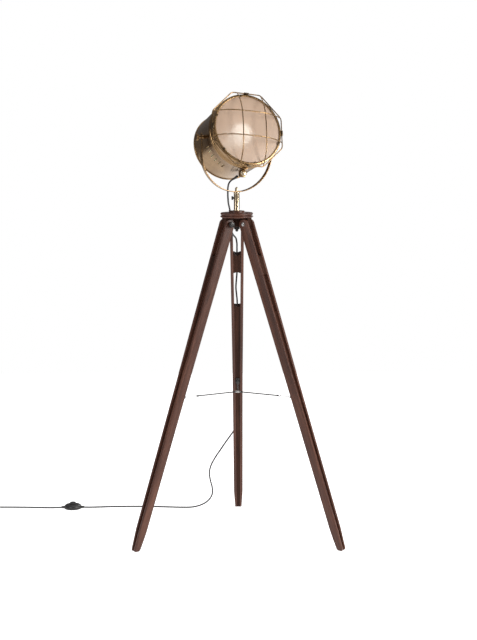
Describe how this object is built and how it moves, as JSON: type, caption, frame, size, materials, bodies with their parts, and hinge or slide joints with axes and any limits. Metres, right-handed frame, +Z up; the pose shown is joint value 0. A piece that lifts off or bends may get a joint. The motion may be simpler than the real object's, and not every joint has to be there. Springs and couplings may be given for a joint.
{
  "type": "tripod spotlight floor lamp",
  "caption": "Wooden tripod floor lamp with a brass searchlight-style drum head in a tilting yoke, a caged frosted glass door, and an inline foot switch on its lead.",
  "frame": {"origin": "on the floor, at the middle of the tripod's footprint", "axes": "+Z up the stem, -Y towards the front, between the two front legs, +X to the right as seen from the front"},
  "size_m": [1.3125, 0.6159, 1.503],
  "materials": {
    "walnut": "satin, open grain",
    "dark_walnut": "satin, open grain, shaded",
    "antique_brass": "antique plated, softly reflective",
    "pale_brass": "polished champagne",
    "steel": "plain zinc",
    "black_metal": "satin black",
    "frosted_glass": "frosted, warm tint",
    "bulb_glass": "opal",
    "ceramic": "glazed",
    "black_plastic": "satin"
  },
  "bodies": {
    "stand": {"hub_cap": "walnut", "hub_block": "walnut", "hub_bolt": "black_metal", "stem_tube": "pale_brass", "spreader_ring": "black_metal", "spreader_rod_1": "black_metal", "spreader_rod_2": "black_metal", "spreader_rod_3": "black_metal", "spreader_link_1": "steel", "spreader_link_2": "steel", "spreader_link_3": "steel", "cord_head": "black_plastic", "cord_leg": "black_plastic", "cord_floor": "black_plastic", "cord_tail": "black_plastic", "cord_coil": "black_plastic", "switch_body": "black_plastic", "plug": "black_plastic"},
    "leg_1": {"leg_1_rail_a": "walnut", "leg_1_rail_b": "walnut", "leg_1_block": "dark_walnut", "leg_1_tongue": "dark_walnut", "leg_1_bolt": "steel", "leg_1_eye": "black_metal"},
    "leg_1_knob": {"leg_1_knob": "black_metal"},
    "leg_2": {"leg_2_rail_a": "walnut", "leg_2_rail_b": "walnut", "leg_2_block": "dark_walnut", "leg_2_tongue": "dark_walnut", "leg_2_bolt": "steel", "leg_2_eye": "black_metal"},
    "leg_2_knob": {"leg_2_knob": "black_metal"},
    "leg_3": {"leg_3_rail_a": "walnut", "leg_3_rail_b": "walnut", "leg_3_block": "dark_walnut", "leg_3_tongue": "dark_walnut", "leg_3_bolt": "steel", "leg_3_eye": "black_metal"},
    "leg_3_knob": {"leg_3_knob": "black_metal"},
    "stem_thumbscrew": {"stem_thumbscrew": "black_metal"},
    "yoke": {"yoke": "pale_brass", "acorn_nut": "pale_brass", "pan_spigot": "steel"},
    "head": {"drum": "antique_brass", "rear_cap": "antique_brass", "lamp_bracket": "steel", "lamp_holder": "ceramic", "bulb": "bulb_glass", "cable_gland": "black_metal", "clasp_bracket": "antique_brass", "door_hinge": "antique_brass", "tilt_bush_left": "antique_brass", "tilt_bush_right": "antique_brass"},
    "tilt_knob_left": {"tilt_knob_left": "antique_brass"},
    "tilt_knob_right": {"tilt_knob_right": "antique_brass"},
    "door": {"door_bezel": "antique_brass", "door_glass": "frosted_glass", "cage": "antique_brass"},
    "clasp_screw": {"clasp_screw": "pale_brass"},
    "switch_button": {"switch_button": "black_plastic"}
  },
  "joints": [
    {"name": "leg_1_fold", "type": "hinge", "parent": "stand", "child": "leg_1", "pos_m": [-0.03291, -0.11424, 1.067], "axis": [0.5, -0.866, 0], "range_deg": [0, 16.5], "deforming": ["spreader_rod_1", "spreader_link_1"]},
    {"name": "leg_1_knob_turn", "type": "hinge", "parent": "leg_1", "child": "leg_1_knob", "pos_m": [-0.03291, -0.11424, 1.067], "axis": [0.5, -0.866, 0], "continuous": true},
    {"name": "leg_2_fold", "type": "hinge", "parent": "stand", "child": "leg_2", "pos_m": [0.03291, -0.11424, 1.067], "axis": [0.5, 0.866, 0], "range_deg": [0, 16.5], "deforming": ["spreader_rod_2", "spreader_link_2"]},
    {"name": "leg_2_knob_turn", "type": "hinge", "parent": "leg_2", "child": "leg_2_knob", "pos_m": [0.03291, -0.11424, 1.067], "axis": [0.5, 0.866, 0], "continuous": true},
    {"name": "leg_3_fold", "type": "hinge", "parent": "stand", "child": "leg_3", "pos_m": [0, -0.05724, 1.067], "axis": [-1, 0, 0], "range_deg": [0, 16.5], "deforming": ["spreader_rod_3", "spreader_link_3", "cord_leg", "cord_floor"]},
    {"name": "leg_3_knob_turn", "type": "hinge", "parent": "leg_3", "child": "leg_3_knob", "pos_m": [0, -0.05724, 1.067], "axis": [-1, 0, 0], "continuous": true},
    {"name": "stem_thumbscrew_turn", "type": "hinge", "parent": "stand", "child": "stem_thumbscrew", "pos_m": [-0.014, -0.09524, 1.1523], "axis": [-1, 0, 0], "continuous": true},
    {"name": "head_pan", "type": "hinge", "parent": "stand", "child": "yoke", "pos_m": [0, -0.09524, 1.1716], "axis": [0, 0, 1], "range_deg": [-150, 150], "deforming": ["cord_head"]},
    {"name": "head_tilt", "type": "hinge", "parent": "yoke", "child": "head", "pos_m": [0, -0.09524, 1.3561], "axis": [0.9026, 0.4305, 0], "range_deg": [-50, 60], "deforming": ["cord_head"]},
    {"name": "tilt_knob_left_turn", "type": "hinge", "parent": "yoke", "child": "tilt_knob_left", "pos_m": [-0.12636, -0.15552, 1.3561], "axis": [-0.9026, -0.4305, 0], "continuous": true},
    {"name": "tilt_knob_right_turn", "type": "hinge", "parent": "yoke", "child": "tilt_knob_right", "pos_m": [0.12636, -0.03497, 1.3561], "axis": [0.9026, 0.4305, 0], "continuous": true},
    {"name": "door_open", "type": "hinge", "parent": "head", "child": "door", "pos_m": [0.01677, -0.09481, 1.48451], "axis": [-0.9134, -0.3906, 0.1149], "range_deg": [0, 100]},
    {"name": "clasp_screw_turn", "type": "hinge", "parent": "door", "child": "clasp_screw", "pos_m": [0.02069, -0.17684, 1.23682], "axis": [0.4058, -0.8508, 0.3338], "continuous": true},
    {"name": "switch_press", "type": "slide", "parent": "stand", "child": "switch_button", "axis": [0, 0, -1], "range_m": [0, 0.003], "stiffness_N_per_m": 400, "springref_m": -0.001}
  ]
}
